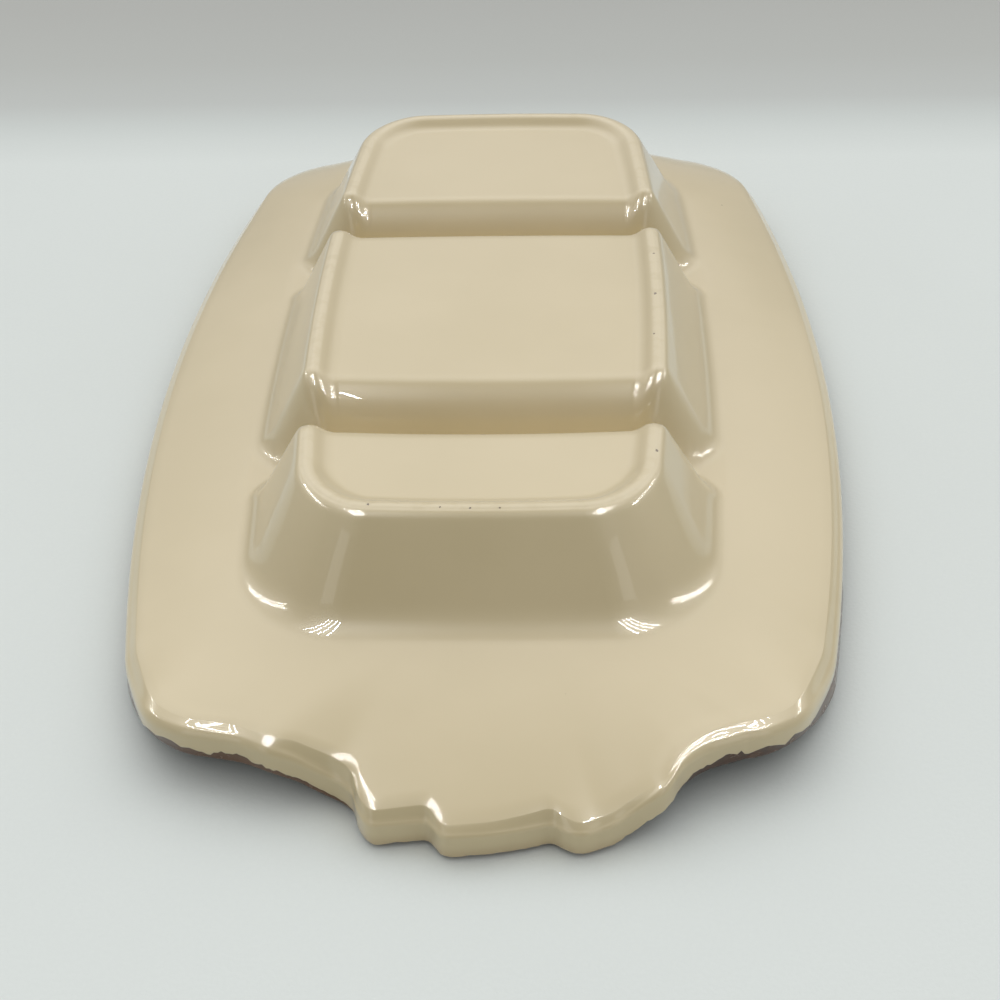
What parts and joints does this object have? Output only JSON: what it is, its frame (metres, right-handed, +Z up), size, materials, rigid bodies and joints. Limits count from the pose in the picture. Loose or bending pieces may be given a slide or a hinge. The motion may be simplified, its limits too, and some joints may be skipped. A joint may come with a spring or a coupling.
{
  "type": "relish tray",
  "caption": "Ceramic relish tray with wells parted by deep dividers, a broad flange and a shaped handle at each end; it lies upside down, foot ring upwards.",
  "frame": {"origin": "on the surface that the tray lies on, in the middle of its box, with the tray upside down", "axes": "+X across the tray to the right, +Y along it from the near handle to the far handle, +Z up through its foot ring"},
  "size_m": [0.1918, 0.332, 0.044],
  "materials": {
    "cream_glaze": "gloss",
    "brown_glaze": "gloss"
  },
  "bodies": {
    "root": {"tray_body": "cream_glaze", "rim_glaze": "brown_glaze"}
  },
  "joints": []
}
